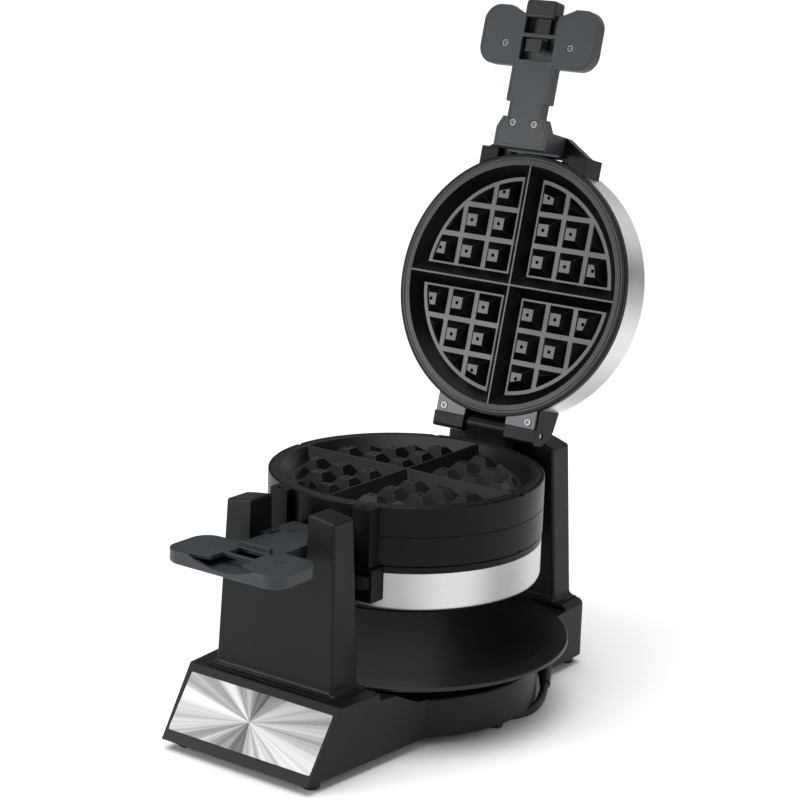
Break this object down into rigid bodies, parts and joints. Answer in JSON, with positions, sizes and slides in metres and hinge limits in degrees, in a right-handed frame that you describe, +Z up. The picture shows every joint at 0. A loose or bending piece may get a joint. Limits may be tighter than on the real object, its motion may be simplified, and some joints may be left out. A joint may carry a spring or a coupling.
{
  "type": "rotating waffle maker",
  "caption": "Double waffle maker with a rotating round head on a forked stand, hinged lids, folding handles with a slide latch, a drip tray and a mains cord.",
  "frame": {"origin": "on the floor under the middle of the object's box, the free cord left out", "axes": "+Z up, -Y towards the sloping steel front plate, +X to the right of someone facing away from it"},
  "size_m": [0.257, 0.5028, 0.5271],
  "materials": {
    "black_plastic": "fine-grained black moulded plastic",
    "brushed_steel": "brushed stainless steel",
    "nonstick": "cast aluminium with a black non-stick coating",
    "tray_black": "thin sheet with a satin black coating",
    "grey_plate": "dark grey painted sheet",
    "screw_steel": "plain steel",
    "heater_sheath": "heat-darkened steel sheath",
    "shield_aluminium": "bright rolled sheet",
    "bearing_plastic": "self-lubricating moulded plastic",
    "rubber": "matte black flexible covering"
  },
  "bodies": {
    "base": {"base_shell": "black_plastic", "front_panel": "brushed_steel", "front_fork": "black_plastic", "neck_saddle": "bearing_plastic", "bottom_cover": "black_plastic", "rubber_feet": "rubber", "rear_tower": "black_plastic", "tower_cap": "black_plastic", "shaft_bush": "bearing_plastic", "mains_harness": "rubber", "terminal_block": "bearing_plastic", "cover_screws": "screw_steel", "strain_relief": "rubber", "power_cord": "rubber", "cord_coil": "rubber", "power_plug": "rubber"},
    "head": {"middle_ring": "black_plastic", "middle_upper_plate": "nonstick", "middle_lower_plate": "nonstick", "middle_heater": "heater_sheath", "thermostat": "screw_steel", "thermal_fuse": "screw_steel", "flip_shaft": "screw_steel", "shaft_ring": "screw_steel", "upper_hinge_pin": "screw_steel", "lower_hinge_pin": "screw_steel", "lower_lid_ring": "black_plastic", "lower_grid_plate": "nonstick", "lower_lid_cover": "brushed_steel", "lower_heater": "heater_sheath", "lower_heat_shield": "shield_aluminium", "lower_hinge_bracket": "black_plastic", "lower_hinge_plate": "grey_plate", "lower_hinge_screws": "screw_steel", "lower_front_bracket": "black_plastic", "lower_handle_shell": "black_plastic", "lower_handle_plate": "black_plastic", "lower_handle_screws": "screw_steel"},
    "upper_lid": {"upper_lid_ring": "black_plastic", "upper_grid_plate": "nonstick", "upper_lid_cover": "brushed_steel", "upper_heater": "heater_sheath", "upper_heat_shield": "shield_aluminium", "upper_hinge_bracket": "black_plastic", "upper_hinge_plate": "grey_plate", "upper_hinge_screws": "screw_steel", "upper_front_bracket": "black_plastic", "upper_handle_shell": "black_plastic", "upper_handle_plate": "black_plastic", "upper_handle_screws": "screw_steel"},
    "latch": {"latch_button": "black_plastic"},
    "tray": {"drip_tray": "tray_black"}
  },
  "joints": [
    {"name": "head_flip", "type": "hinge", "parent": "base", "child": "head", "pos_m": [0, 0, 0.1605], "axis": [0, 1, 0], "range_deg": [-10, 10]},
    {"name": "upper_lid_hinge", "type": "hinge", "parent": "head", "child": "upper_lid", "pos_m": [0, 0.1263, 0.1937], "axis": [1, 0, 0], "range_deg": [0, 104.5]},
    {"name": "latch_slide", "type": "slide", "parent": "upper_lid", "child": "latch", "axis": [0, -0.2504, -0.9681], "range_m": [0, 0.004]},
    {"name": "tray_slide", "type": "slide", "parent": "base", "child": "tray", "axis": [1, 0, 0], "range_m": [0, 0.26]}
  ]
}
